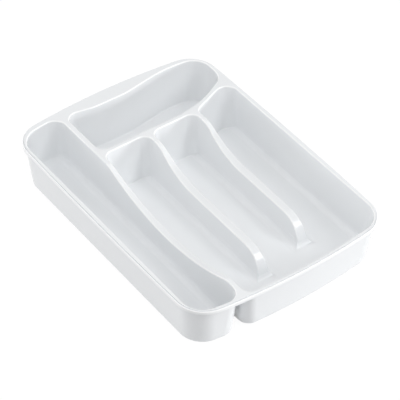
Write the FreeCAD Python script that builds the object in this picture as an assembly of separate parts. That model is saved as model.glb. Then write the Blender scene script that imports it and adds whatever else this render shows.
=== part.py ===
import FreeCAD, Part
import math
import os
from FreeCAD import Vector

# Cutlery tray, a thin-walled plastic moulding, in millimetres.
# The origin is the middle of the underside, +Y runs to the rear cross tub and +Z is up.

# Whole moulding
TRAY_WIDTH = 241.0
TRAY_LENGTH = 340.0
TRAY_HEIGHT = 52.5
WALL = 2.0
END_DRAFT = 7.5
SIDE_DRAFT = 4.5
BAY_DRAFT = 5.0
SLIM_DRAFT = 1.0

# Rim with its turned-down lip
RIM_CORNER_RADIUS = 34.0
SIDE_BOW = 1.5
END_BOW = 5.0
LIP_HEIGHT = 5.0
LIP_THICKNESS = 1.7
RIM_ROUND = 1.4
SIDE_LAND = 5.5
FRONT_LAND = 4.7
REAR_LAND = 7.0

# Long tub on the left
DIVIDER_LAND = 5.0
LONG_SPAN = 59.5
LONG_OUTER_RADIUS = 25.0
LONG_INNER_RADIUS = 14.0
LONG_FLOOR_ROUND = 8.5
LONG_SIDE_LAND = 5.8
LONG_REAR_DRAFT = 5.0

# Rear cross tub with its wavy back edge
REAR_SIDE_LAND = 6.0
REAR_LEFT_LAND = 6.0
CROSS_LAND = 5.5
REAR_DEPTH = 74.2
SWEEP_LAG = 6.0
SWEEP_GAIN = 2.8
SWEEP_RADIUS = 135.0
REAR_END_RADIUS = 23.0
REAR_TOP_RADIUS = 21.0
REAR_LEFT_RADIUS = 11.0
WAVE_CREST_GAP = 43.5
WAVE_FLAT = 40.0
WAVE_SHIFT = 9.75
WAVE_DEPTH = 9.0
WAVE_END_DEPTH = 2.0
WAVE_RADIUS = 70.0
WAVE_CREST_RADIUS = 130.0

# Main tub with three bays
BAYS = 3
RIGHT_BAY_LESS = 1.5
BAY_RISE = 21.9
BAY_REAR_RADIUS = 10.0
BAY_RIGHT_RADIUS = 13.0
MAIN_FRONT_LEFT_RADIUS = 12.0
MAIN_FRONT_RIGHT_RADIUS = 27.0
BAY_SIDE_ROUND = 8.0
OUTER_FLOOR_BEVEL = 2.0

# Dividers and their dipping crests
DIP_GAP = 13.3
DIP_LENGTH = 70.0
DIP_DEPTH = 21.5
DIP_SHOULDER_RADIUS = 30.0
NOSE_RADIUS = 26.0
MIDDLE_NOSE_GAP = 54.5
RIGHT_NOSE_GAP = 69.0
SADDLE_GAP = 30.0
SADDLE_DEPTH = 21.5
SADDLE_SHOULDER_RADIUS = 20.0

# Where the regions part
MOUTH_STRIP = 1.2
SEAM_RISE = 1.2

# Working allowances, clear of every finished surface
BLOCK_MARGIN = 10.0
DEEP = 4.0
OVERSHOOT = 1.0
COVE_BITE = 0.3
BOW_GAP = 2.0
ROUND_SHARE = 0.98

# Places that follow from the sizes
FLOOR_Z = WALL
SEAM_Z = FLOOR_Z + BAY_SIDE_ROUND + SEAM_RISE
HALF_WIDTH = TRAY_WIDTH / 2
HALF_LENGTH = TRAY_LENGTH / 2
TUB_SIDE_X = HALF_WIDTH - SIDE_LAND
LONG_DIVIDER_X = LONG_SPAN - HALF_WIDTH
BAY_PITCH = (TUB_SIDE_X - LONG_DIVIDER_X + DIVIDER_LAND / 2 + RIGHT_BAY_LESS) / BAYS
MIDDLE_DIVIDER_X = LONG_DIVIDER_X + BAY_PITCH
RIGHT_DIVIDER_X = MIDDLE_DIVIDER_X + BAY_PITCH
BAY_REAR_Y = HALF_LENGTH - REAR_LAND - REAR_DEPTH - CROSS_LAND
DIP_START_Y = BAY_REAR_Y - DIP_GAP
SADDLE_LENGTH = DIP_START_Y + HALF_LENGTH - SADDLE_GAP
MIDDLE_NOSE_Y = MIDDLE_NOSE_GAP - HALF_LENGTH
RIGHT_NOSE_Y = RIGHT_NOSE_GAP - HALF_LENGTH
DIVIDERS = [(MIDDLE_DIVIDER_X, MIDDLE_NOSE_Y), (RIGHT_DIVIDER_X, RIGHT_NOSE_Y)]
BOW_REACH = HALF_WIDTH - RIM_CORNER_RADIUS
SIDE_REACH = HALF_LENGTH - RIM_CORNER_RADIUS
END_CURVE = END_BOW / BOW_REACH ** 2
SIDE_CURVE = SIDE_BOW / SIDE_REACH ** 2
END_TAN = math.tan(math.radians(END_DRAFT))
SIDE_TAN = math.tan(math.radians(SIDE_DRAFT))
BAY_ANGLE = math.radians(BAY_DRAFT)
BAY_TAN = math.tan(BAY_ANGLE)
BAY_COS = math.cos(BAY_ANGLE)
DIVIDER_REACH = DIVIDER_LAND / 2 + TRAY_HEIGHT * BAY_TAN + MOUTH_STRIP

# Directions in a lengthwise section, turned from +Y towards +Z
UPWARDS = math.pi / 2
FORWARDS = math.pi
DOWNWARDS = 3 * math.pi / 2


def line_meet(p, u, q, v):
    """Point where the line through p along u meets the line through q along v."""
    cross = u[0] * v[1] - u[1] * v[0]
    t = ((q[0] - p[0]) * v[1] - (q[1] - p[1]) * v[0]) / cross
    return p[0] + u[0] * t, p[1] + u[1] * t


def unit(p, q):
    """Unit vector from p to q in plan."""
    length = math.hypot(q[0] - p[0], q[1] - p[1])
    return (q[0] - p[0]) / length, (q[1] - p[1]) / length


def side_turn(points, i):
    """Directions of the sides before and after a corner, and the angle between them."""
    u = unit(points[i - 1], points[i])
    v = unit(points[i], points[(i + 1) % len(points)])
    return u, v, math.acos(max(-1.0, min(1.0, u[0] * v[0] + u[1] * v[1])))


def inset_corners(corners, insets):
    """Move side i (corner i to corner i + 1) inwards by insets[i]."""
    moved = []
    for i, (x, y, _) in enumerate(corners):
        u, v, _ = side_turn(corners, i)
        p = (x - u[1] * insets[i - 1], y + u[0] * insets[i - 1])
        q = (x - v[1] * insets[i], y + v[0] * insets[i])
        moved.append(line_meet(p, u, q, v))
    return moved


def fitted_radii(points, radii):
    """Corner radii, made smaller where two rounds would meet on their common side."""
    count = len(points)
    reaches = [radii[i] * math.tan(side_turn(points, i)[2] / 2) for i in range(count)]
    shares = []
    for i in range(count):
        nxt = (i + 1) % count
        side = math.dist(points[i], points[nxt])
        shares.append(min(1.0, ROUND_SHARE * side / (reaches[i] + reaches[nxt])))
    return [radii[i] * min(shares[i - 1], shares[i]) for i in range(count)]


def rounded_wire(points, radii, z):
    """Closed wire of straight sides and tangent arcs at one height."""
    count = len(points)
    arcs = []
    for i, radius in enumerate(fitted_radii(points, radii)):
        x, y = points[i]
        u, v, angle = side_turn(points, i)
        reach = radius * math.tan(angle / 2)
        bulge = radius * (1 / math.cos(angle / 2) - 1)
        inward = Vector(v[0] - u[0], v[1] - u[1], 0).normalize()
        first = Vector(x - u[0] * reach, y - u[1] * reach, z)
        last = Vector(x + v[0] * reach, y + v[1] * reach, z)
        arcs.append(Part.Arc(first, Vector(x, y, z) + inward * bulge, last).toShape())
    edges = []
    for i, arc in enumerate(arcs):
        edges.append(arc)
        edges.append(Part.makeLine(arc.lastVertex().Point, arcs[(i + 1) % count].firstVertex().Point))
    return Part.Wire(edges)


def nearest_edge(shape, x, y, z):
    """Edge of a shape that passes nearest to a point."""
    probe = Part.Vertex(x, y, z)
    return min(shape.Edges, key=lambda edge: edge.distToShape(probe)[0])


def flat_face(points):
    """Flat face through a ring of points."""
    return Part.Face(Part.makePolygon(points + points[:1]))


def pocket(corners, drafts, grow):
    """Plug of a tub, from below its floor to over the top: flat drafted sides and rounded upright edges."""
    low = FLOOR_Z - grow - DEEP - OVERSHOOT
    high = TRAY_HEIGHT + 2 * OVERSHOOT
    rings = []
    for z in (low, high):
        insets = []
        for draft in drafts:
            angle = math.radians(draft)
            insets.append((TRAY_HEIGHT - z) * math.tan(angle) - grow / math.cos(angle))
        rings.append(inset_corners(corners, insets))
    feet = [Vector(x, y, low) for x, y in rings[0]]
    tops = [Vector(x, y, high) for x, y in rings[1]]
    faces = [flat_face(tops), flat_face(feet)]
    radii = []
    for i, corner in enumerate(corners):
        faces.append(flat_face([feet[i - 1], feet[i], tops[i], tops[i - 1]]))
        u, v, _ = side_turn(corners, i)
        convex = u[0] * v[1] - u[1] * v[0] > 0
        radii.append(corner[2] + grow if convex else corner[2] - grow)
    shell = Part.Shell(faces)
    shell.sewShape()
    shell.reverse()
    plug = Part.Solid(shell)
    for i, radius in enumerate(fitted_radii(rings[0], radii)):
        if corners[i][2] > 0:
            middle = (feet[i] + tops[i]) / 2
            plug = plug.makeFillet(radius, [nearest_edge(plug, *middle)])
    return plug


def bow_line(half, curve, at, where):
    """Tangent, taken at one place, of a bowed side whose middle stands at half."""
    return half - curve * at * (2 * where - at)


def bow_corner(half, curve, first, last):
    """Where the tangents at two places of a bowed side meet: place along it, height and radius."""
    return (first + last) / 2, half - curve * first * last, 1 / (2 * curve)


def rim_corners():
    """Outer edge of the rim: four rounded corners and four bowed sides."""
    end_at = BOW_REACH - BOW_GAP
    side_at = SIDE_REACH - BOW_GAP
    _, end_peak, end_radius = bow_corner(HALF_LENGTH, END_CURVE, -end_at, end_at)
    _, side_peak, side_radius = bow_corner(HALF_WIDTH, SIDE_CURVE, -side_at, side_at)
    end_slope = 2 * END_CURVE * end_at
    side_slope = 2 * SIDE_CURVE * side_at
    x, y = line_meet((0, end_peak), (1, -end_slope), (side_peak, 0), (-side_slope, 1))
    quarter = RIM_CORNER_RADIUS
    return [
        (x, -y, quarter), (side_peak, 0, side_radius), (x, y, quarter), (0, end_peak, end_radius),
        (-x, y, quarter), (-side_peak, 0, side_radius), (-x, -y, quarter), (0, -end_peak, end_radius),
    ]


def long_corners():
    """Top edge of the long tub, anticlockwise from its front left corner."""
    left = LONG_SIDE_LAND - HALF_WIDTH
    right = LONG_DIVIDER_X - DIVIDER_LAND / 2
    middle = (left + right) / 2
    front = HALF_LENGTH - FRONT_LAND
    rear = HALF_LENGTH - REAR_LAND
    corners = [
        (left, -bow_line(front, END_CURVE, middle, left), LONG_OUTER_RADIUS),
        (right, -bow_line(front, END_CURVE, middle, right), LONG_INNER_RADIUS),
        (right, bow_line(rear, END_CURVE, middle, right), LONG_INNER_RADIUS),
        (left, bow_line(rear, END_CURVE, middle, left), LONG_OUTER_RADIUS),
    ]
    return corners, [END_DRAFT, SLIM_DRAFT, LONG_REAR_DRAFT, SIDE_DRAFT]


def rear_corners():
    """Top edge of the rear tub: swept front edge, round right end and wavy back."""
    left = LONG_DIVIDER_X - DIVIDER_LAND / 2 + REAR_LEFT_LAND
    right = HALF_WIDTH - REAR_SIDE_LAND
    front = BAY_REAR_Y + CROSS_LAND
    flank = right - REAR_TOP_RADIUS
    rear = HALF_LENGTH - REAR_LAND
    crest = right - WAVE_CREST_GAP
    middle = (left + crest) / 2 - WAVE_SHIFT
    back = bow_line(rear, END_CURVE, flank, crest)
    corners = [
        (left, front, REAR_LEFT_RADIUS),
        (RIGHT_DIVIDER_X + SWEEP_LAG, front, SWEEP_RADIUS),
        (right, front + BAY_RISE + SWEEP_GAIN, REAR_END_RADIUS),
        (right, bow_line(rear, END_CURVE, flank, right), REAR_TOP_RADIUS),
        (crest, back, WAVE_CREST_RADIUS),
        (middle + WAVE_FLAT / 2, back - WAVE_DEPTH, WAVE_RADIUS),
        (middle - WAVE_FLAT / 2, back - WAVE_DEPTH, WAVE_RADIUS),
        (left, back - WAVE_END_DEPTH, REAR_LEFT_RADIUS),
    ]
    drafts = [BAY_DRAFT, SLIM_DRAFT, BAY_DRAFT, END_DRAFT, END_DRAFT, END_DRAFT, END_DRAFT, BAY_DRAFT]
    return corners, drafts


def main_corners():
    """Top edge of the three-bay tub, anticlockwise from its front left corner."""
    left = LONG_DIVIDER_X + DIVIDER_LAND / 2
    right = TUB_SIDE_X
    first = left + MAIN_FRONT_LEFT_RADIUS + BOW_GAP
    last = right - MAIN_FRONT_RIGHT_RADIUS - BOW_GAP
    front = HALF_LENGTH - FRONT_LAND
    bow_x, bow_y, bow_radius = bow_corner(front, END_CURVE, first, last)
    corners = [
        (left, -bow_line(front, END_CURVE, first, left), MAIN_FRONT_LEFT_RADIUS),
        (bow_x, -bow_y, bow_radius),
        (right, -bow_line(front, END_CURVE, last, right), MAIN_FRONT_RIGHT_RADIUS),
        (right, BAY_REAR_Y + BAY_RISE, BAY_RIGHT_RADIUS),
        (RIGHT_DIVIDER_X, BAY_REAR_Y, 0.0),
        (left, BAY_REAR_Y, BAY_REAR_RADIUS),
    ]
    return corners, [END_DRAFT, END_DRAFT, SIDE_DRAFT, END_DRAFT, END_DRAFT, BAY_DRAFT]


def profile_arc(centre, radius, start, end):
    """Arc in the YZ plane about centre (y, z), between two directions."""
    points = []
    for turn in (start, (start + end) / 2, end):
        points.append(Vector(0, centre[0] + radius * math.cos(turn), centre[1] + radius * math.sin(turn)))
    return Part.Arc(*points).toShape()


def closed_profile(edges, corners):
    """Close a run of YZ edges through corner points (y, z) and make a face of it."""
    points = [edges[-1].lastVertex().Point]
    points += [Vector(0, y, z) for y, z in corners]
    points.append(edges[0].firstVertex().Point)
    for p, q in zip(points, points[1:]):
        edges.append(Part.makeLine(p, q))
    return Part.Face(Part.Wire(Part.__sortEdges__(edges)))


def dip_turn(length, depth, shoulder):
    """Hollow radius and turn of a shoulder and hollow that drop by depth."""
    total = (length ** 2 + depth ** 2) / (2 * depth)
    return total - shoulder, math.asin(length / total)


def divider(centre_x, nose_y, grow, low):
    """Hollow-backed divider of a bay: dipping crest, rounded nose and tapered sides."""
    top = TRAY_HEIGHT - grow
    hollow, turn = dip_turn(DIP_LENGTH, DIP_DEPTH, DIP_SHOULDER_RADIUS)
    crest = TRAY_HEIGHT - DIP_DEPTH
    flat_y = DIP_START_Y - DIP_LENGTH
    nose_z = crest - NOSE_RADIUS
    side_drop = nose_z + NOSE_RADIUS * math.sin(BAY_ANGLE) - FLOOR_Z
    round_y = nose_y + NOSE_RADIUS * BAY_COS + side_drop * BAY_TAN
    rear_y = BAY_REAR_Y + CROSS_LAND / 2
    shoulder = profile_arc((DIP_START_Y, TRAY_HEIGHT - DIP_SHOULDER_RADIUS),
                           DIP_SHOULDER_RADIUS - grow, UPWARDS, UPWARDS + turn)
    scoop = profile_arc((flat_y, crest + hollow), hollow + grow, DOWNWARDS + turn, DOWNWARDS)
    nose = profile_arc((round_y, nose_z), NOSE_RADIUS - grow, UPWARDS, FORWARDS - BAY_ANGLE)
    ridge = Part.makeLine(scoop.lastVertex().Point, nose.firstVertex().Point)
    foot = nose.lastVertex().Point
    foot_y = foot.y - (foot.z - low) * BAY_TAN
    side = closed_profile([shoulder, scoop, ridge, nose], [(foot_y, low), (rear_y, low), (rear_y, top)])
    half_top = DIVIDER_LAND / 2 + grow * BAY_TAN - grow / BAY_COS
    half_low = half_top + (top - low) * BAY_TAN
    reach = half_low + OVERSHOOT
    side = side.extrude(Vector(2 * reach, 0, 0))
    side.translate(Vector(centre_x - reach, 0, 0))
    start_y = foot_y - OVERSHOOT
    section = Part.makePolygon([
        Vector(centre_x - half_low, start_y, low), Vector(centre_x + half_low, start_y, low),
        Vector(centre_x + half_top, start_y, top), Vector(centre_x - half_top, start_y, top),
        Vector(centre_x - half_low, start_y, low)])
    bar = Part.Face(section).extrude(Vector(0, rear_y + OVERSHOOT - start_y, 0))
    return bar.common(side)


def saddle(grow):
    """Cutter that dips the crest of the long divider, level with the top at both ends."""
    half = SADDLE_LENGTH / 2
    middle_y = DIP_START_Y - half
    hollow, turn = dip_turn(half, SADDLE_DEPTH, SADDLE_SHOULDER_RADIUS)
    shoulder_z = TRAY_HEIGHT - SADDLE_SHOULDER_RADIUS
    rear = profile_arc((DIP_START_Y, shoulder_z), SADDLE_SHOULDER_RADIUS - grow, UPWARDS, UPWARDS + turn)
    scoop = profile_arc((middle_y, TRAY_HEIGHT - SADDLE_DEPTH + hollow), hollow + grow,
                        DOWNWARDS + turn, DOWNWARDS - turn)
    front = profile_arc((middle_y - half, shoulder_z), SADDLE_SHOULDER_RADIUS - grow,
                        UPWARDS - turn, UPWARDS)
    face = closed_profile([rear, scoop, front], [])
    cutter = face.extrude(Vector(2 * DIVIDER_REACH, 0, 0))
    cutter.translate(Vector(LONG_DIVIDER_X - DIVIDER_REACH, 0, 0))
    return cutter


def cove_face(foot, outward, draft):
    """Section of the concave round between a drafted wall and the floor at the wall's foot."""
    angle = math.radians(draft)
    centre = BAY_SIDE_ROUND * (1 - math.sin(angle)) / math.cos(angle)

    def at(out, up):
        return foot + outward * out + Vector(0, 0, up)

    def on_round(turn):
        return at(centre + BAY_SIDE_ROUND * math.cos(turn), BAY_SIDE_ROUND + BAY_SIDE_ROUND * math.sin(turn))

    last = FORWARDS + angle
    arc = Part.Arc(on_round(DOWNWARDS), on_round((DOWNWARDS + last) / 2), on_round(last)).toShape()
    wall = arc.lastVertex().Point
    inner = wall - outward * COVE_BITE
    below = FLOOR_Z - COVE_BITE
    points = [wall, inner, Vector(inner.x, inner.y, below), at(centre, -COVE_BITE), at(centre, 0)]
    edges = [arc]
    for p, q in zip(points, points[1:]):
        edges.append(Part.makeLine(p, q))
    return Part.Face(Part.Wire(edges))


def wall_cove(foot_x, side, draft, rear_y):
    """Straight cove along a lengthwise wall of the main tub."""
    face = cove_face(Vector(foot_x, -HALF_LENGTH, FLOOR_Z), Vector(side, 0, 0), draft)
    return face.extrude(Vector(0, rear_y + HALF_LENGTH, 0))


def divider_cove(centre_x, nose_y):
    """Cove down both sides of a divider and across its nose, mitred at the corners."""
    half = DIVIDER_LAND / 2 + (TRAY_HEIGHT - FLOOR_Z) * BAY_TAN
    lean = BAY_SIDE_ROUND * (1 - math.sin(BAY_ANGLE)) * BAY_TAN
    rear_y = BAY_REAR_Y + CROSS_LAND
    start_y = nose_y - BAY_SIDE_ROUND
    reach = half + BAY_SIDE_ROUND
    face = cove_face(Vector(centre_x - reach, nose_y, FLOOR_Z), Vector(0, -1, 0), BAY_DRAFT)
    front = face.extrude(Vector(2 * reach, 0, 0))
    inner = Part.makeBox(2 * (half - lean), BAY_SIDE_ROUND + lean, SEAM_Z,
                         Vector(centre_x - half + lean, start_y, 0))
    pieces = [front.common(inner)]
    for side in (1, -1):
        face = cove_face(Vector(centre_x + side * half, start_y, FLOOR_Z), Vector(side, 0, 0), BAY_DRAFT)
        run = face.extrude(Vector(0, rear_y - start_y, 0))
        pieces.append(run.common(front))
        face.translate(Vector(0, nose_y + lean - start_y, 0))
        pieces.append(face.extrude(Vector(0, rear_y - nose_y - lean, 0)))
    return pieces[0].fuse(pieces[1:]).removeSplitter()


def form(grow):
    """Solid whose upper side is the tray's upper surface, or its underside when grown by a wall."""
    top = TRAY_HEIGHT - grow
    floor = FLOOR_Z - grow
    low = floor - DEEP
    margin = BLOCK_MARGIN + grow
    width = TRAY_WIDTH + 2 * margin
    length = TRAY_LENGTH + 2 * margin
    corner = Vector(-width / 2, -length / 2, low)
    solid = Part.makeBox(width, length, top - low, corner)
    for corners in (long_corners, rear_corners, main_corners):
        solid = solid.cut(pocket(*corners(), grow))
    solid = solid.cut(saddle(grow))
    dividers = [divider(x, nose_y, grow, low) for x, nose_y in DIVIDERS]
    solid = solid.fuse(dividers).removeSplitter()

    mid_z = (top + floor) / 2
    mid_depth = TRAY_HEIGHT - mid_z
    half = DIVIDER_LAND / 2 + mid_depth * BAY_TAN - grow
    rear = BAY_REAR_Y - mid_depth * END_TAN + grow
    inner_corners = []
    for x, _ in DIVIDERS:
        for side in (-1, 1):
            inner_corners.append(nearest_edge(solid, x + side * half, rear, mid_z))
    solid = solid.makeFillet(BAY_REAR_RADIUS + grow, inner_corners)

    return solid.fuse(Part.makeBox(width, length, DEEP, corner)).removeSplitter()


def upper_form():
    """Solid under the tray's upper surface, with the long tub's round floor and the bays' coves."""
    solid = form(0.0)
    depth = TRAY_HEIGHT - FLOOR_Z
    left = LONG_DIVIDER_X + DIVIDER_LAND / 2 + depth * BAY_TAN
    right = TUB_SIDE_X - depth * SIDE_TAN
    solid = solid.makeFillet(LONG_FLOOR_ROUND, [nearest_edge(solid, -right, 0, FLOOR_Z)])
    coves = [wall_cove(left, 1, BAY_DRAFT, BAY_REAR_Y + CROSS_LAND),
             wall_cove(right, -1, SIDE_DRAFT, BAY_REAR_Y + BAY_RISE)]
    coves += [divider_cove(x, nose_y) for x, nose_y in DIVIDERS]
    for cove in coves:
        solid = solid.fuse(cove)
    return solid.removeSplitter()


def lower_form():
    """Solid under the tray's underside, which takes the bevelled bottom edges off the tubs."""
    solid = form(WALL)
    side_x = TUB_SIDE_X - TRAY_HEIGHT * SIDE_TAN + WALL
    rear_y = BAY_REAR_Y + CROSS_LAND + TRAY_HEIGHT * BAY_TAN - WALL
    edges = []
    for x, y in [(-side_x, 0), (side_x, 0), (MIDDLE_DIVIDER_X, rear_y)]:
        edges.append(nearest_edge(solid, x, y, FLOOR_Z - WALL))
    return solid.makeChamfer(OUTER_FLOOR_BEVEL, edges)


def rim_plug(inset, low, high):
    """Upright plug inside the rim's outer edge, between two heights."""
    corners = rim_corners()
    radii = [radius - inset for _, _, radius in corners]
    wire = rounded_wire(inset_corners(corners, [inset] * len(corners)), radii, low)
    return Part.Face(wire).extrude(Vector(0, 0, high - low))


def rim_lip():
    """Turned-down lip with a rounded top edge."""
    low = TRAY_HEIGHT - LIP_HEIGHT
    lip = rim_plug(0.0, low, TRAY_HEIGHT)
    lip = lip.makeFillet(RIM_ROUND, [nearest_edge(lip, HALF_WIDTH, 0, TRAY_HEIGHT)])
    return lip.cut(rim_plug(LIP_THICKNESS, low - OVERSHOOT, TRAY_HEIGHT + OVERSHOOT))


def divider_zone(centre_x, front_y):
    """Box round a divider, from above the floor coves to over the top."""
    return Part.makeBox(2 * DIVIDER_REACH, DIP_START_Y - front_y, TRAY_HEIGHT,
                        Vector(centre_x - DIVIDER_REACH, front_y, SEAM_Z))


def land_tool():
    """Plate that parts the flat top land from the tubs, a narrow strip outside their mouths."""
    plate = rim_plug(0.0, TRAY_HEIGHT - WALL, TRAY_HEIGHT + OVERSHOOT)
    for corners in (long_corners, rear_corners, main_corners):
        plate = plate.cut(pocket(*corners(), MOUTH_STRIP))
    return plate


def tray_parts():
    """Split the moulding into its named regions, which meet face to face."""
    shell = upper_form().cut(lower_form())
    shell = shell.common(rim_plug(LIP_THICKNESS, -OVERSHOOT, TRAY_HEIGHT + OVERSHOOT))
    zones = {
        "long_divider": divider_zone(LONG_DIVIDER_X, DIP_START_Y - SADDLE_LENGTH),
        "middle_divider": divider_zone(MIDDLE_DIVIDER_X, MIDDLE_NOSE_Y),
        "right_divider": divider_zone(RIGHT_DIVIDER_X, RIGHT_NOSE_Y),
    }
    parts = {name: shell.common(zone) for name, zone in zones.items()}
    rest = shell.cut(list(zones.values()))
    tool = land_tool()
    parts["top_land"] = rest.common(tool)
    tubs = rest.cut(tool).Solids
    rear_y = HALF_LENGTH - REAR_LAND
    floors = {
        "long_tub": ((LONG_DIVIDER_X - TUB_SIDE_X) / 2, 0),
        "rear_tub": (MIDDLE_DIVIDER_X, (BAY_REAR_Y + CROSS_LAND + rear_y - WAVE_DEPTH) / 2),
        "main_tub": (MIDDLE_DIVIDER_X + BAY_PITCH / 2, 0),
    }
    for name, (x, y) in floors.items():
        probe = Part.Vertex(x, y, FLOOR_Z / 2)
        parts[name] = min(tubs, key=lambda tub: tub.distToShape(probe)[0])
    parts["rim_lip"] = rim_lip()
    return parts


if __name__ == "__main__":
    os.makedirs("parts", exist_ok=True)
    for name, shape in tray_parts().items():
        print(name, shape.isValid(), len(shape.Solids), len(shape.Faces), round(shape.Volume))
        shape.exportStep("parts/" + name + ".step")
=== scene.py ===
"""Looks of a white moulded cutlery tray, built in Blender round its packed regions."""

import logging
import math
from collections import defaultdict
from dataclasses import dataclass, field
from enum import Enum
from typing import Any, Iterable, Optional, Sequence, Union

import bmesh
import bpy
from mathutils import Matrix, Vector
from mathutils.bvhtree import BVHTree


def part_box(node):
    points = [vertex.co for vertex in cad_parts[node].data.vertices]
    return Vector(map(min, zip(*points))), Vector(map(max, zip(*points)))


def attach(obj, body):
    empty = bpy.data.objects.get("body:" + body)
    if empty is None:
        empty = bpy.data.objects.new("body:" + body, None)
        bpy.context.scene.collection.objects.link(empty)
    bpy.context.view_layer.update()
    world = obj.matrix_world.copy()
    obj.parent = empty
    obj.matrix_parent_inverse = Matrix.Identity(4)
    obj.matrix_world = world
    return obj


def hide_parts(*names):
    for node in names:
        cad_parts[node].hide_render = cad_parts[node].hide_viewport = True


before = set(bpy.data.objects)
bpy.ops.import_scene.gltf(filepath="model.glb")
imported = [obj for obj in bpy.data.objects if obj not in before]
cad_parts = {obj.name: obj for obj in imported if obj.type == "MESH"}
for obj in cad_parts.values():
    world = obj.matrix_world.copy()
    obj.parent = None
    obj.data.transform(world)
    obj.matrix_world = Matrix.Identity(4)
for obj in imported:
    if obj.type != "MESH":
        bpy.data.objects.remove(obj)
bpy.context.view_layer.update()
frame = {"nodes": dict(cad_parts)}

LOG = logging.getLogger("cutlery_tray")
MM = 0.001
BODY = "root"
# Attribute of the rounded edges: lower roughness from wear, and a painted highlight in their colour.
WEAR_AND_HIGHLIGHT = "edge_wear_and_highlight"
LEVEL = "faces_up"
PLACE_DIGITS = 5
WHITE = (1.0, 1.0, 1.0, 1.0)
# Direction that runs along no wall of the tray.
ASKEW = Vector((0.2718, 0.3141, 0.9094)).normalized()

Number = Union[float, "Wire"]
Colour = tuple[float, float, float, float]
PerAxis = tuple[float, float, float]


class EdgeKind(Enum):
    """Edges that the mould leaves soft."""

    CREST = "crest"
    FLOOR = "floor"
    BASE = "base"


class FaceKind(Enum):
    """Faces of a region: open to view, or against a neighbouring region."""

    OPEN = 0
    SEAM = 1


def place_key(point: Vector) -> tuple[float, ...]:
    """Place in metres, rounded so that neighbouring regions agree on it."""
    return tuple(round(c, PLACE_DIGITS) for c in point)


class Wire:
    """Node socket that takes part in Python arithmetic."""

    def __init__(self, graph: "Graph", socket: bpy.types.NodeSocket) -> None:
        """Keep the socket and the graph that new nodes go into."""
        self.graph = graph
        self.socket = socket

    def _math(self, operation: str, first: Number, second: Number) -> "Wire":
        """Result of one new Math node."""
        node = self.graph.node("ShaderNodeMath", {"operation": operation}, {0: first, 1: second})
        return self.graph.wire(node)

    def __add__(self, other: Number) -> "Wire":
        """Sum with a number or another wire."""
        return self._math("ADD", self, other)

    __radd__ = __add__

    def __sub__(self, other: Number) -> "Wire":
        """This wire less a number or another wire."""
        return self._math("SUBTRACT", self, other)

    def __rsub__(self, other: Number) -> "Wire":
        """A number less this wire."""
        return self._math("SUBTRACT", other, self)

    def __mul__(self, other: Number) -> "Wire":
        """Product with a number or another wire."""
        return self._math("MULTIPLY", self, other)

    __rmul__ = __mul__

    def __truediv__(self, other: Number) -> "Wire":
        """This wire over a number or another wire."""
        return self._math("DIVIDE", self, other)

    def __rtruediv__(self, other: Number) -> "Wire":
        """A number over this wire."""
        return self._math("DIVIDE", other, self)

    def size(self) -> "Wire":
        """The value without its sign."""
        return self._math("ABSOLUTE", self, 0.0)

    def limited(self) -> "Wire":
        """The value held between nought and one."""
        return self._math("MINIMUM", self._math("MAXIMUM", self, 0.0), 1.0)

    def above(self, limit: Number) -> "Wire":
        """One where the value is over a limit, and nought elsewhere."""
        return self._math("GREATER_THAN", self, limit)


class Graph:
    """Node tree of a material, a world or a Geometry Nodes group."""

    NOISE_MIDDLE = 0.5
    # A Mix node's sockets for numbers, vectors and colours share their names, so these are places.
    MIX_SHARE = 0
    MIX_FIRST = 6
    MIX_SECOND = 7
    MIX_RESULT = 2

    def __init__(self, tree: bpy.types.NodeTree) -> None:
        """Empty the node tree and keep it."""
        self.tree = tree
        self.tree.nodes.clear()

    @classmethod
    def of(cls, owner: Union[bpy.types.Material, bpy.types.World]) -> "Graph":
        """Graph of a material or a world."""
        owner.use_nodes = True
        return cls(owner.node_tree)

    def node(self, kind: str, settings: Optional[dict[str, Any]] = None,
             values: Optional[dict[Union[int, str], Any]] = None) -> bpy.types.Node:
        """Make one node.

        Args:
            kind: Blender's name for the node's type.
            settings: Properties that are set before the sockets.
            values: Numbers, colours, wires or nodes for its input sockets. A node gives its first output.

        Returns:
            The new node.
        """
        node = self.tree.nodes.new(kind)
        for name, value in (settings or {}).items():
            setattr(node, name, value)
        for name, value in (values or {}).items():
            if isinstance(value, bpy.types.Node):
                value = self.wire(value)
            if isinstance(value, Wire):
                self.tree.links.new(value.socket, node.inputs[name])
            else:
                node.inputs[name].default_value = value
        return node

    def wire(self, node: bpy.types.Node, output: Union[int, str] = 0) -> Wire:
        """Output socket of a node as a wire."""
        return Wire(self, node.outputs[output])

    def noise(self, place: Wire, cells: float = 1.0, detail: float = 2.0) -> Wire:
        """Even noise about NOISE_MIDDLE.

        Args:
            place: Coordinates in metres, or stretched ones.
            cells: Cells per unit of the coordinates.
            detail: Octaves of finer noise.

        Returns:
            Noise value.
        """
        values = {"Vector": place, "Scale": cells, "Detail": detail}
        return self.wire(self.node("ShaderNodeTexNoise", values=values))

    def stretched(self, place: Wire, cells: PerAxis) -> Wire:
        """Coordinates with their own number of cells per metre along each axis."""
        return self.wire(self.node("ShaderNodeMapping", values={"Vector": place, "Scale": cells}))

    def mix(self, share: Number, first: Union[Colour, Wire], second: Union[Colour, Wire]) -> Wire:
        """Blend of two colours.

        Args:
            share: Part of the second colour.
            first: Colour at nought.
            second: Colour at one.

        Returns:
            Blended colour.
        """
        values = {self.MIX_SHARE: share, self.MIX_FIRST: first, self.MIX_SECOND: second}
        return self.wire(self.node("ShaderNodeMix", {"data_type": "RGBA"}, values), self.MIX_RESULT)


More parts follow.
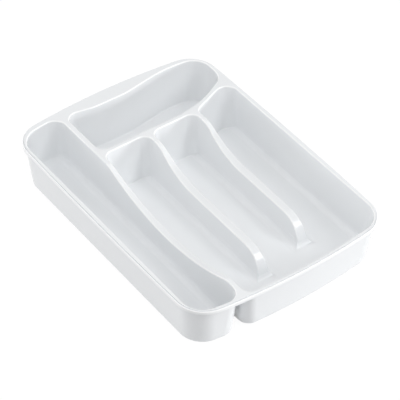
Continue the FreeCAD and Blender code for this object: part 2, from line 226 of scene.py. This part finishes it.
@dataclass(frozen=True)
class MouldedPlastic:
    """Glossy white injection-moulded plastic with a faint moulded skin, light wear and a painted highlight
    on its rounded edges.

    Attributes:
        body: Main colour.
        shade: Slightly darker colour that the main one drifts to.
        edge: Brighter colour of the rounded edges, a painted highlight standing in for the light they
            catch.
        roughness: Roughness of the plain plastic.
        smudge_depth: Swing of the roughness over broad smudges.
        scratch_depth: Roughness that a scratch adds.
        floor_scuff: Roughness that use adds to the floors.
        edge_polish: Roughness that the rounded edges lose.
        index: Index of refraction.
        tone_cells: Cells per metre of the drift of colour.
        smudge_cells: Cells per metre of the smudges.
        smudge_detail: Octaves of the smudges.
        peel_cells: Cells per metre of the slight waviness of the skin.
        grain_cells: Cells per metre of the finest grain.
        grain_detail: Octaves of the finest grain.
        scratch_cells: Cells per metre of the scratches, which run along the compartments.
        draw_cells: Cells per metre of the faint upright lines that the mould leaves as it opens.
        scratch_width: Half width of a scratch, as a share of the noise that draws it.
        floor_height: Height at which the scuffs of the floors end.
        floor_fade: Height over which they fade.
        grain_share: Height of the grain against the waviness.
        draw_share: Height of the upright lines against the waviness.
        scratch_share: Depth of the scratches against the waviness.
        bump_strength: Strength of the skin's relief.
        bump_depth: Height of the skin's relief.
    """

    body: Colour = (0.858, 0.873, 0.886, 1.0)
    shade: Colour = (0.846, 0.862, 0.877, 1.0)
    # Painted highlight: the rounded edges are drawn lighter than the body.
    edge: Colour = (0.945, 0.948, 0.954, 1.0)
    roughness: float = 0.17
    smudge_depth: float = 0.05
    scratch_depth: float = 0.14
    floor_scuff: float = 0.22
    edge_polish: float = 0.06
    index: float = 1.5
    tone_cells: float = 13.0
    smudge_cells: float = 38.0
    smudge_detail: float = 4.0
    peel_cells: float = 260.0
    grain_cells: float = 3200.0
    grain_detail: float = 1.0
    scratch_cells: PerAxis = (900.0, 16.0, 120.0)
    draw_cells: PerAxis = (620.0, 620.0, 9.0)
    scratch_width: float = 0.035
    floor_height: float = 16.0 * MM
    floor_fade: float = 8.0 * MM
    grain_share: float = 0.25
    draw_share: float = 0.35
    scratch_share: float = 0.6
    bump_strength: float = 0.03
    bump_depth: float = 0.3 * MM

    def material(self) -> bpy.types.Material:
        """Build the material.

        Returns:
            Material that every region of the moulding shares, so no seam shows in its pattern.
        """
        material = bpy.data.materials.new("white_moulded_plastic")
        graph = Graph.of(material)
        place = graph.wire(graph.node("ShaderNodeTexCoord"), "Object")
        height = graph.wire(graph.node("ShaderNodeSeparateXYZ", values={0: place}), "Z")
        wear_and_highlight = graph.wire(graph.node("ShaderNodeAttribute", {"attribute_name": WEAR_AND_HIGHLIGHT}), "Fac")
        level = graph.wire(graph.node("ShaderNodeAttribute", {"attribute_name": LEVEL}), "Fac")
        on_floor = ((self.floor_height - height) / self.floor_fade).limited() * level

        tone = graph.noise(place, self.tone_cells)
        smudge = graph.noise(place, self.smudge_cells, self.smudge_detail)
        peel = graph.noise(place, self.peel_cells)
        grain = graph.noise(place, self.grain_cells, self.grain_detail)
        draw = graph.noise(graph.stretched(place, self.draw_cells))
        line = (graph.noise(graph.stretched(place, self.scratch_cells)) - graph.NOISE_MIDDLE).size()
        scratch = (1.0 - line / self.scratch_width).limited() * on_floor * smudge

        colour = graph.mix(tone, self.shade, self.body)
        # Painted highlight: the marked rounded edges are lightened towards the edge colour.
        colour = graph.mix(wear_and_highlight, colour, self.edge)
        rough = self.roughness + (smudge - graph.NOISE_MIDDLE) * self.smudge_depth
        rough = rough + on_floor * self.floor_scuff + scratch * self.scratch_depth
        rough = rough - wear_and_highlight * self.edge_polish
        skin = peel + grain * self.grain_share + draw * self.draw_share - scratch * self.scratch_share
        bump = graph.node("ShaderNodeBump", values={
            "Strength": self.bump_strength, "Distance": self.bump_depth, "Height": skin})
        shader = graph.node("ShaderNodeBsdfPrincipled", values={
            "Base Color": colour, "Roughness": rough, "IOR": self.index, "Normal": bump})
        graph.node("ShaderNodeOutputMaterial", values={"Surface": shader})
        return material


@dataclass(frozen=True)
class Rounding:
    """How one kind of edge is softened: how far it reaches, and in how many segments."""

    kind: EdgeKind
    reach: float
    segments: int


class SeamFinder:
    """Tells which faces of a region lie against a neighbouring region."""

    # Distance from a face to the point that is tested, and from a wall to the next search for one.
    STEP = 0.05 * MM
    PAST = 0.001 * MM

    def __init__(self, nodes: dict[str, bpy.types.Object]) -> None:
        """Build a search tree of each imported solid.

        Args:
            nodes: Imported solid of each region, by name.
        """
        self.trees: dict[str, BVHTree] = {}
        for name, node in nodes.items():
            points = [vertex.co for vertex in node.data.vertices]
            faces = [tuple(polygon.vertices) for polygon in node.data.polygons]
            self.trees[name] = BVHTree.FromPolygons(points, faces)

    def _inside(self, tree: BVHTree, point: Vector) -> bool:
        """Whether a point is inside a closed solid.

        Args:
            tree: Search tree of the solid.
            point: Place to test.

        Returns:
            True where a line from the point, in a skew direction, meets an odd number of walls.
        """
        count = 0
        hit = tree.ray_cast(point, ASKEW)[0]
        while hit is not None:
            count += 1
            hit = tree.ray_cast(hit + ASKEW * self.PAST, ASKEW)[0]
        return count % 2 == 1

    def is_seam(self, owner: str, face: bmesh.types.BMFace) -> bool:
        """Whether a face lies against another region.

        Args:
            owner: Name of the face's own region.
            face: Face of that region.

        Returns:
            True where the point just outside the face is inside another region.
        """
        probe = face.calc_center_median() + face.normal * self.STEP
        others = (tree for name, tree in self.trees.items() if name != owner)
        return any(self._inside(tree, probe) for tree in others)


@dataclass
class Region:
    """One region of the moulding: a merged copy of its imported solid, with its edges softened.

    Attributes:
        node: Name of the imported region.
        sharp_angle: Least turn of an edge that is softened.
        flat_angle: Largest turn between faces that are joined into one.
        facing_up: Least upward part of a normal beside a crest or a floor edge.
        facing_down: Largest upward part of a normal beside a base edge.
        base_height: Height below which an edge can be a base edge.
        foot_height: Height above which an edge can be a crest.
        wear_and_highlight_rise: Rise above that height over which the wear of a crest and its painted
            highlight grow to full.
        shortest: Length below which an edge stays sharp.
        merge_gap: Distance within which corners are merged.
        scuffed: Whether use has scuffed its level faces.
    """

    node: str
    sharp_angle: float = math.radians(25.0)
    flat_angle: float = math.radians(0.4)
    facing_up: float = 0.05
    facing_down: float = -0.3
    base_height: float = 4.0 * MM
    foot_height: float = 11.5 * MM
    wear_and_highlight_rise: float = 12.0 * MM
    shortest: float = 0.2 * MM
    merge_gap: float = 0.004 * MM
    scuffed: bool = True

    # Settings of Blender's bevel: a round profile, and new faces that keep their neighbours' kind.
    ROUND_PROFILE = 0.5
    KEEP_KIND = -1

    def roundings(self) -> tuple[Rounding, ...]:
        """Roundings in the order in which they are made."""
        return ()

    def build(self, seams: SeamFinder, material: bpy.types.Material) -> bpy.types.Object:
        """Make the region's finished piece.

        Args:
            seams: Finder of the faces that meet a neighbour.
            material: Finish of the moulding.

        Returns:
            Piece at the origin, with its place in its mesh.
        """
        shape = bmesh.new()
        shape.from_mesh(frame["nodes"][self.node].data)
        bmesh.ops.remove_doubles(shape, verts=shape.verts, dist=self.merge_gap)
        self._drop_pockets(shape)
        shape.normal_update()
        for face in shape.faces:
            seam = seams.is_seam(self.node, face)
            face.material_index = (FaceKind.SEAM if seam else FaceKind.OPEN).value
        bmesh.ops.dissolve_limit(shape, angle_limit=self.flat_angle, verts=shape.verts,
                                 edges=shape.edges, delimit={"MATERIAL"})
        wear_and_highlight = shape.verts.layers.float.new(WEAR_AND_HIGHLIGHT)
        for rounding in self.roundings():
            self._soften(shape, rounding, wear_and_highlight)
        level = shape.verts.layers.float.new(LEVEL)
        for vertex in shape.verts:
            vertex[level] = max(0.0, vertex.normal.z) if self.scuffed else 0.0
        # Bevels leave their corners and faces in an order that changes from run to run.
        shape.verts.sort(key=lambda vertex: vertex.co.dot(ASKEW))
        shape.faces.sort(key=lambda face: face.calc_center_median().dot(ASKEW))
        mesh = bpy.data.meshes.new(self.node + "_shape")
        shape.to_mesh(mesh)
        shape.free()
        for _ in FaceKind:
            mesh.materials.append(material)
        piece = bpy.data.objects.new(self.node + "_piece", mesh)
        bpy.context.scene.collection.objects.link(piece)
        return piece

    @staticmethod
    def _drop_pockets(shape: bmesh.types.BMesh) -> None:
        """Keep the outer skin only, without the pocket that a welded hairline groove leaves.

        Args:
            shape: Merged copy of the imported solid.
        """
        left = set(shape.faces)
        skins = []
        while left:
            skin = [left.pop()]
            for face in skin:
                for edge in face.edges:
                    beyond = left.intersection(edge.link_faces) if len(edge.link_faces) == 2 else ()
                    left.difference_update(beyond)
                    skin.extend(beyond)
            skins.append(skin)
        skins.sort(key=len)
        pockets = [face for skin in skins[:-1] for face in skin]
        bmesh.ops.delete(shape, geom=pockets, context="FACES")

    def _edge_kind(self, edge: bmesh.types.BMEdge) -> Optional[EdgeKind]:
        """Sort an edge.

        Args:
            edge: Edge of the region.

        Returns:
            Kind of a sharp open edge, or nothing for a smooth, hidden or seam edge.
        """
        if len(edge.link_faces) != 2:
            return None
        first, second = edge.link_faces
        if FaceKind.SEAM.value in (first.material_index, second.material_index):
            return None
        angle = edge.calc_face_angle_signed(0.0)
        if abs(angle) < self.sharp_angle:
            return None
        height = (edge.verts[0].co.z + edge.verts[1].co.z) / 2
        if height < self.base_height and min(first.normal.z, second.normal.z) < self.facing_down:
            return EdgeKind.BASE
        if max(first.normal.z, second.normal.z) < self.facing_up:
            return None
        if angle < 0:
            return EdgeKind.FLOOR
        return EdgeKind.CREST if height > self.foot_height else None

    def _with_room(self, edges: list[bmesh.types.BMEdge], reach: float) -> list[bmesh.types.BMEdge]:
        """Leave out the edges that end at a detail smaller than the rounding.

        Args:
            edges: Edges of one kind.
            reach: Reach of their rounding.

        Returns:
            Edges that can take the full rounding.
        """
        kept = [edge for edge in edges if edge.calc_length() > self.shortest]
        before = len(edges) + 1
        while len(kept) < before:
            before = len(kept)
            marked = set(kept)
            kept = [edge for edge in kept if all(
                other in marked or other.calc_length() > reach
                for vertex in edge.verts for other in vertex.link_edges)]
        return kept

    def _soften(self, shape: bmesh.types.BMesh, rounding: Rounding,
                wear_and_highlight: bmesh.types.BMLayerItem) -> None:
        """Round every edge of one kind and mark the crests as worn, which also gives them a painted
        highlight.

        Args:
            shape: Region that is changed.
            rounding: Kind of edge and the size of its round.
            wear_and_highlight: Layer that holds the wear and painted highlight of each corner.
        """
        edges = [edge for edge in shape.edges if self._edge_kind(edge) is rounding.kind]
        edges = self._with_room(edges, rounding.reach)
        if not edges:
            return
        result = bmesh.ops.bevel(shape, geom=edges, offset=rounding.reach, offset_type="OFFSET",
                                 segments=rounding.segments, profile=self.ROUND_PROFILE,
                                 affect="EDGES", clamp_overlap=True, loop_slide=True,
                                 material=self.KEEP_KIND)
        # The crest's rounded corners are marked: less roughness, and a painted highlight that fades out
        # towards the feet.
        if rounding.kind is EdgeKind.CREST:
            rounded = set(result["faces"])
            for vertex in {vertex for face in rounded for vertex in face.verts}:
                inside = rounded.issuperset(vertex.link_faces)
                rise = (vertex.co.z - self.foot_height) / self.wear_and_highlight_rise
                vertex[wear_and_highlight] = max(0.0, min(1.0, rise)) if inside else 0.0
        shape.normal_update()
        LOG.info("%s: %d %s edges softened", self.node, len(edges), rounding.kind.value)


@dataclass
class Compartment(Region):
    """A tub of the tray, with a soft mouth, floor edge and bottom edge."""

    base_round: float = 0.8 * MM
    base_segments: int = 2
    floor_round: float = 1.8 * MM
    floor_segments: int = 4
    mouth_round: float = 1.15 * MM
    mouth_segments: int = 8

    def roundings(self) -> tuple[Rounding, ...]:
        """Roundings from the bottom edge up to the mouth."""
        return (Rounding(EdgeKind.BASE, self.base_round, self.base_segments),
                Rounding(EdgeKind.FLOOR, self.floor_round, self.floor_segments),
                Rounding(EdgeKind.CREST, self.mouth_round, self.mouth_segments))


@dataclass
class RearTub(Compartment):
    """The cross compartment at the rear, whose floor is unmarked."""

    node: str = "rear_tub"
    scuffed: bool = False


@dataclass
class MainTub(Compartment):
    """The compartment with the three bays: a fine floor edge, and hairline grooves welded at the noses."""

    node: str = "main_tub"
    floor_round: float = 0.75 * MM
    merge_gap: float = 0.09 * MM


@dataclass
class Divider(Region):
    """A wall between two compartments, with a soft crest and nose."""

    crest_round: float = 1.15 * MM
    crest_segments: int = 10

    def roundings(self) -> tuple[Rounding, ...]:
        """The one rounding, along the crest and round the nose."""
        return (Rounding(EdgeKind.CREST, self.crest_round, self.crest_segments),)


@dataclass
class TopLand(Region):
    """The flat land between the compartments, which has no free edge of its own."""

    node: str = "top_land"


class SweepTree:
    """Geometry Nodes tree that sweeps a rounded lip section along the rim's path."""

    SIZES = ("Lip Height", "Lip Thickness", "Top Round", "Foot Round", "Groove Round", "Step Down")
    ROUND_STEPS = 6

    def __init__(self, name: str) -> None:
        """Build the tree with its named inputs.

        Args:
            name: Name of the node group.
        """
        self.group = bpy.data.node_groups.new(name, "GeometryNodeTree")
        face = self.group.interface
        face.new_socket("Geometry", in_out="INPUT", socket_type="NodeSocketGeometry")
        for size in self.SIZES:
            face.new_socket(size, in_out="INPUT", socket_type="NodeSocketFloat")
        face.new_socket("Material", in_out="INPUT", socket_type="NodeSocketMaterial")
        face.new_socket("Geometry", in_out="OUTPUT", socket_type="NodeSocketGeometry")
        self.graph = Graph(self.group)
        self.source = self.graph.node("NodeGroupInput")
        self._build()

    def _section(self) -> Wire:
        """Draw the section of the lip, with X outwards and Y down from the rim's path.

        Returns:
            Closed curve with a groove round at its upper inner corner and a round at both outer corners.
        """
        graph = self.graph
        sizes = (graph.wire(self.source, size) for size in self.SIZES)
        height, thickness, top_round, foot_round, groove_round, step_down = sizes
        outline = graph.node("GeometryNodeCurvePrimitiveQuadrilateral", values={
            "Width": thickness, "Height": height})
        place = graph.node("GeometryNodeInputPosition")
        axes = graph.node("ShaderNodeSeparateXYZ", values={0: place})
        outer = graph.wire(axes, "X").above(0.0)
        lower = graph.wire(axes, "Y").above(0.0)
        upper = 1.0 - lower
        groove = (1.0 - outer) * upper * groove_round
        radius = groove + outer * (upper * top_round + lower * foot_round)
        rounded = graph.node("GeometryNodeFilletCurve", {"mode": "POLY"}, {
            "Curve": outline, "Count": self.ROUND_STEPS, "Radius": radius})
        shift = graph.node("ShaderNodeCombineXYZ", values={
            "X": thickness / 2, "Y": step_down + height / 2})
        moved = graph.node("GeometryNodeTransform", values={"Geometry": rounded, "Translation": shift})
        return graph.wire(moved)

    def _build(self) -> None:
        """Join path, section, realised mesh and material."""
        graph = self.graph
        rim = graph.wire(self.source, "Geometry")
        finish = graph.wire(self.source, "Material")
        path = graph.node("GeometryNodeMeshToCurve", values={"Mesh": rim})
        upright = graph.node("GeometryNodeSetCurveNormal", {"mode": "Z_UP"}, {"Curve": path})
        lip = graph.node("GeometryNodeCurveToMesh", values={
            "Curve": upright, "Profile Curve": self._section()})
        solid = graph.node("GeometryNodeRealizeInstances", values={"Geometry": lip})
        dressed = graph.node("GeometryNodeSetMaterial", values={"Geometry": solid, "Material": finish})
        graph.node("NodeGroupOutput", values={"Geometry": dressed})

    def apply(self, piece: bpy.types.Object, values: dict[str, Any]) -> bpy.types.Mesh:
        """Run the tree on a piece.

        Args:
            piece: Object that holds the path.
            values: Value of each named input.

        Returns:
            Plain mesh of the result.
        """
        modifier = piece.modifiers.new("sweep", "NODES")
        modifier.node_group = self.group
        for item in self.group.interface.items_tree:
            if item.in_out == "INPUT" and item.name in values:
                modifier[item.identifier] = values[item.name]
        bpy.context.view_layer.update()
        depsgraph = bpy.context.evaluated_depsgraph_get()
        mesh = bpy.data.meshes.new_from_object(piece.evaluated_get(depsgraph))
        piece.modifiers.remove(modifier)
        return mesh


@dataclass
class RimLip:
    """The turned-down lip round the whole rim, swept along the land's outer edge.

    Attributes:
        node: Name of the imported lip.
        land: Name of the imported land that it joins.
        top_round: Round of its upper outer edge.
        foot_round: Round of its lower outer edge.
        groove_round: Round that leaves a fine groove beside the land.
        step_down: How far its top stands below the land.
        same_place: Distance within which two points are one.
    """

    node: str = "rim_lip"
    land: str = "top_land"
    top_round: float = 0.8 * MM
    foot_round: float = 0.5 * MM
    groove_round: float = 0.85 * MM
    step_down: float = 0.45 * MM
    same_place: float = 0.01 * MM

    def _path(self) -> list[Vector]:
        """Find the rim's path, the top corner that the lip shares with the land.

        Returns:
            Points in order round the tray.
        """
        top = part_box(self.node)[1].z
        shared = []
        for name in (self.node, self.land):
            points = (vertex.co for vertex in frame["nodes"][name].data.vertices)
            shared.append({place_key(point) for point in points if top - point.z < self.same_place})
        corners = [Vector(place) for place in shared[0] & shared[1]]
        return sorted(corners, key=lambda corner: math.atan2(corner.y, corner.x))

    def build(self, material: bpy.types.Material) -> bpy.types.Object:
        """Make the lip's finished piece.

        Args:
            material: Finish of the moulding.

        Returns:
            Piece at the origin, with its place in its mesh.
        """
        path = self._path()
        count = len(path)
        mesh = bpy.data.meshes.new(self.node + "_path")
        mesh.from_pydata(path, [(i, (i + 1) % count) for i in range(count)], [])
        piece = bpy.data.objects.new(self.node + "_piece", mesh)
        bpy.context.scene.collection.objects.link(piece)
        low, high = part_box(self.node)
        shape = SweepTree("lip_sweep").apply(piece, {
            "Lip Height": high.z - low.z - self.step_down,
            "Lip Thickness": high.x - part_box(self.land)[1].x,
            "Top Round": self.top_round,
            "Foot Round": self.foot_round,
            "Groove Round": self.groove_round,
            "Step Down": self.step_down,
            "Material": material,
        })
        shape.name = self.node + "_shape"
        piece.data = shape
        self._finish(shape)
        LOG.info("%s: swept along %d points", self.node, count)
        return piece

    def _finish(self, mesh: bpy.types.Mesh) -> None:
        """Merge doubles, turn the faces outwards and mark the outside of the rounded top as worn, which
        also gives it a painted highlight.

        Args:
            mesh: Swept lip, which is changed.
        """
        shape = bmesh.new()
        shape.from_mesh(mesh)
        bmesh.ops.remove_doubles(shape, verts=shape.verts, dist=self.same_place)
        bmesh.ops.recalc_face_normals(shape, faces=shape.faces)
        wear_and_highlight = shape.verts.layers.float.new(WEAR_AND_HIGHLIGHT)
        shape.normal_update()
        top = max(vertex.co.z for vertex in shape.verts)
        for vertex in shape.verts:
            outside = vertex.normal.xy.dot(vertex.co.xy) > 0
            # The lip's outer rounded top is marked: less roughness, and a painted highlight.
            vertex[wear_and_highlight] = float(outside and self.same_place < top - vertex.co.z < self.top_round)
        shape.to_mesh(mesh)
        shape.free()


class SmoothSkin:
    """Gives all regions one smooth skin: corners that meet share a normal across the seams."""

    # Cosine of the largest turn that is still smooth.
    SMOOTH_LIMIT = math.cos(math.radians(42.0))
    UPRIGHT = Vector((0.0, 0.0, 1.0))

    def __init__(self, pieces: Iterable[bpy.types.Object]) -> None:
        """Collect the open faces that meet at each place.

        Args:
            pieces: Finished pieces of the moulding.
        """
        self.pieces = list(pieces)
        self.meeting: dict[tuple[float, ...], list[tuple[Vector, float]]] = defaultdict(list)
        for piece in self.pieces:
            mesh = piece.data
            for polygon in mesh.polygons:
                if polygon.material_index == FaceKind.OPEN.value:
                    for index in polygon.vertices:
                        entry = (polygon.normal.copy(), polygon.area)
                        self.meeting[place_key(mesh.vertices[index].co)].append(entry)

    def _normal(self, polygon: bpy.types.MeshPolygon, point: Vector) -> Vector:
        """Work out the normal of one corner.

        Args:
            polygon: Face that the corner belongs to.
            point: Place of the corner.

        Returns:
            Mean normal, by area, of the faces that meet there and turn little from this one.
        """
        if polygon.material_index == FaceKind.SEAM.value:
            return polygon.normal
        total = Vector((0.0, 0.0, 0.0))
        for normal, area in self.meeting[place_key(point)]:
            if normal.dot(polygon.normal) > self.SMOOTH_LIMIT:
                total += normal * area
        return total.normalized() if total.length > 0 else polygon.normal

    def apply(self) -> None:
        """Set every piece's corner normals."""
        for piece in self.pieces:
            mesh = piece.data
            normals = [self.UPRIGHT] * len(mesh.loops)
            for polygon in mesh.polygons:
                polygon.use_smooth = True
                for loop in polygon.loop_indices:
                    point = mesh.vertices[mesh.loops[loop].vertex_index].co
                    normals[loop] = self._normal(polygon, point)
            mesh.normals_split_custom_set(normals)


@dataclass
class SoftBox:
    """A rectangular studio lamp that points at the tray.

    Attributes:
        name: Name of the lamp.
        place: Middle of the lamp.
        width: Side of the lamp across.
        height: Side of the lamp up.
        power: Power in watts.
        target: Place that it points at.
        mirrored: Whether the plastic mirrors the lamp.
    """

    name: str
    place: PerAxis
    width: float
    height: float
    power: float
    target: PerAxis = (0.0, 0.0, 30.0 * MM)
    mirrored: bool = False

    def build(self) -> None:
        """Place the lamp."""
        lamp = bpy.data.lights.new(self.name, "AREA")
        lamp.shape = "RECTANGLE"
        lamp.size = self.width
        lamp.size_y = self.height
        lamp.energy = self.power
        holder = bpy.data.objects.new(self.name, lamp)
        holder.location = self.place
        holder.visible_glossy = self.mirrored
        aim = Vector(self.target) - Vector(self.place)
        holder.rotation_euler = aim.to_track_quat("-Z", "Y").to_euler()
        bpy.context.scene.collection.objects.link(holder)


@dataclass
class Studio:
    """Pale floor, even surroundings and soft lamps.

    Attributes:
        floor_reach: Half the side of the floor.
        floor_gap: Room between the floor and the tray's underside.
        floor_colour: Colour of the floor as it takes part in the light.
        floor_glow: Share of plain white in the floor where it is seen.
        floor_white: Strength of that white.
        surround_light: Strength of the surroundings as light.
        lamps: Lamps, in the order in which they are placed.
    """

    floor_reach: float = 6.0
    floor_gap: float = 0.1 * MM
    floor_colour: Colour = (0.6, 0.6, 0.605, 1.0)
    floor_glow: float = 0.86
    floor_white: float = 1.09
    surround_light: float = 0.49
    lamps: tuple[SoftBox, ...] = (
        SoftBox("front_lamp", place=(1.6, -2.55, 2.64), width=1.1, height=1.7, power=39.5, mirrored=True),
        SoftBox("low_lamp", place=(1.9, -1.6, 0.17), width=0.6, height=0.32, power=26.0),
        SoftBox("fill_lamp", place=(-0.75, -1.0, 2.6), width=1.6, height=1.6, power=20.8),
        SoftBox("left_lamp", place=(-1.3, 0.6, 0.9), width=1.4, height=1.4, power=4.9),
        SoftBox("rear_lamp", place=(-1.2, 1.8, 0.17), width=0.6, height=0.32, power=12.0),
    )

    def build(self) -> None:
        """Set up floor, world and lamps."""
        self._floor()
        self._world()
        for lamp in self.lamps:
            lamp.build()

    @staticmethod
    def _seen(graph: Graph) -> Wire:
        """Tell what is seen from what only gives light.

        Args:
            graph: Graph of the floor or the world.

        Returns:
            One for what the camera sees, straight or in a reflection, and nought for light.
        """
        path = graph.node("ShaderNodeLightPath")
        seen = graph.wire(path, "Is Camera Ray") + graph.wire(path, "Is Glossy Ray")
        return (seen + graph.wire(path, "Is Transmission Ray")).limited()

    def _floor(self) -> None:
        """Lay a plain pale floor that keeps a faint shadow."""
        reach = self.floor_reach
        mesh = bpy.data.meshes.new("studio_floor")
        corners = [(-reach, -reach), (reach, -reach), (reach, reach), (-reach, reach)]
        mesh.from_pydata([(x, y, -self.floor_gap) for x, y in corners], [], [(0, 1, 2, 3)])
        floor = bpy.data.objects.new("studio_floor", mesh)
        bpy.context.scene.collection.objects.link(floor)
        material = bpy.data.materials.new("pale_floor")
        graph = Graph.of(material)
        matt = graph.node("ShaderNodeBsdfDiffuse", values={"Color": self.floor_colour})
        glow = graph.node("ShaderNodeEmission", values={"Color": WHITE, "Strength": self.floor_white})
        share = self._seen(graph) * self.floor_glow
        mixed = graph.node("ShaderNodeMixShader", values={0: share, 1: matt, 2: glow})
        graph.node("ShaderNodeOutputMaterial", values={"Surface": mixed})
        mesh.materials.append(material)

    def _world(self) -> None:
        """Set white surroundings, dimmer as light and full white where they are seen."""
        world = bpy.data.worlds.new("studio_world")
        bpy.context.scene.world = world
        graph = Graph.of(world)
        strength = self.surround_light + self._seen(graph) * (1.0 - self.surround_light)
        glow = graph.node("ShaderNodeBackground", values={"Color": WHITE, "Strength": strength})
        graph.node("ShaderNodeOutputWorld", values={"Surface": glow})


@dataclass
class PhotoCamera:
    """Camera at the photograph's angle, with a long lens.

    Attributes:
        azimuth: Turn round the tray, from its front to its right.
        elevation: Angle above the floor.
        distance: Distance from the aim.
        aim: Place that the camera looks along, near the middle of the rim.
        slide_right: Sideways move of the camera in its own plane.
        slide_up: Upward move of the camera in its own plane.
        sensor: Width of the sensor, in Blender's millimetres.
        lens: Focal length, in Blender's millimetres.
    """

    azimuth: float = math.radians(-35.846)
    elevation: float = math.radians(42.914)
    distance: float = 2076.6 * MM
    aim: PerAxis = (-1.0 * MM, 0.3 * MM, 52.5 * MM)
    slide_right: float = 4.45 * MM
    slide_up: float = -23.5 * MM
    sensor: float = 36.0
    lens: float = 184.64

    def build(self) -> None:
        """Place the camera and make it the scene's own."""
        level = math.cos(self.elevation)
        back = Vector((math.sin(self.azimuth) * level, -math.cos(self.azimuth) * level,
                       math.sin(self.elevation)))
        right = Vector((math.cos(self.azimuth), math.sin(self.azimuth), 0.0))
        up = back.cross(right)
        data = bpy.data.cameras.new("photo_camera")
        data.sensor_width = self.sensor
        data.lens = self.lens
        camera = bpy.data.objects.new("photo_camera", data)
        turn = Matrix((right, up, back)).transposed()
        place = Vector(self.aim) + back * self.distance + right * self.slide_right + up * self.slide_up
        camera.matrix_world = Matrix.Translation(place) @ turn.to_4x4()
        bpy.context.scene.collection.objects.link(camera)
        bpy.context.scene.camera = camera


@dataclass
class Tray:
    """The whole moulding."""

    finish: MouldedPlastic = field(default_factory=MouldedPlastic)
    regions: Sequence[Region] = (
        Compartment("long_tub"), RearTub(), MainTub(),
        Divider("long_divider"), Divider("middle_divider"), Divider("right_divider"),
        TopLand(),
    )
    lip: RimLip = field(default_factory=RimLip)

    def build(self) -> list[bpy.types.Object]:
        """Make every piece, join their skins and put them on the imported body.

        Returns:
            Finished pieces.
        """
        material = self.finish.material()
        seams = SeamFinder(frame["nodes"])
        pieces = {region.node: region.build(seams, material) for region in self.regions}
        pieces[self.lip.node] = self.lip.build(material)
        SmoothSkin(pieces.values()).apply()
        for node, piece in pieces.items():
            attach(piece, BODY)
            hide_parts(node)
        return list(pieces.values())


def main() -> None:
    """Build studio, camera and tray, and report each piece."""
    logging.basicConfig(level=logging.INFO, format="%(name)s %(message)s")
    bpy.context.scene.view_settings.view_transform = "Standard"
    Studio().build()
    PhotoCamera().build()
    for piece in Tray().build():
        LOG.info("%s: %d faces", piece.name, len(piece.data.polygons))


if __name__ == "__main__":
    main()
